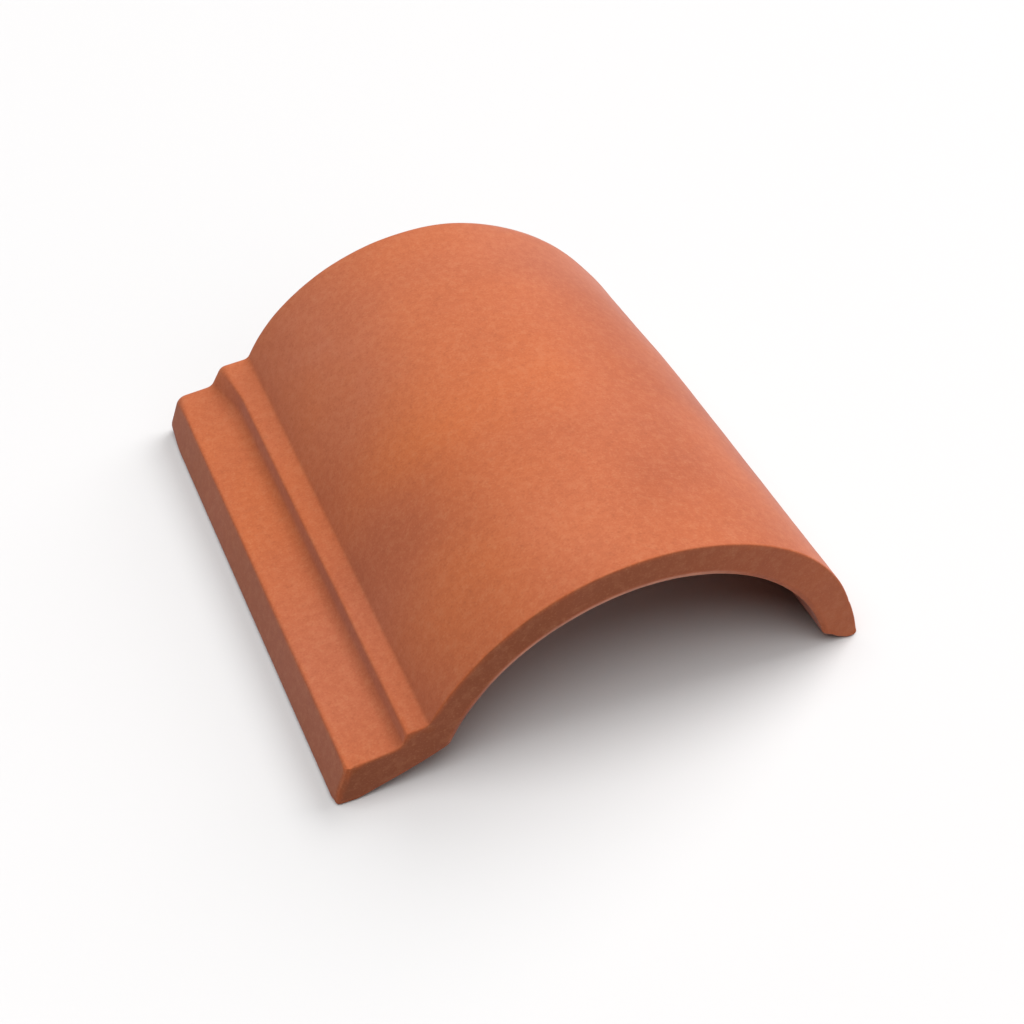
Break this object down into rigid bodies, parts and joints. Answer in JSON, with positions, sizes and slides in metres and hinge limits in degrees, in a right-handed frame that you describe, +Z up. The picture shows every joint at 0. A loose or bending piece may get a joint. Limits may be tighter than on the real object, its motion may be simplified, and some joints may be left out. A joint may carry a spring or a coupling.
{
  "type": "clay roof tile",
  "caption": "Unglazed clay roof tile with a round barrel and a stepped side flange that the next tile laps over.",
  "frame": {"origin": "middle of the tile's footprint, on the floor it lies on", "axes": "+X across the tile from the flange to the free foot, +Y along the barrel from the front end to the back end, +Z up"},
  "size_m": [0.2302, 0.24, 0.0825],
  "materials": {
    "fired_clay": "matt unglazed terracotta, moulded"
  },
  "bodies": {
    "root": {"tile": "fired_clay"}
  },
  "joints": []
}
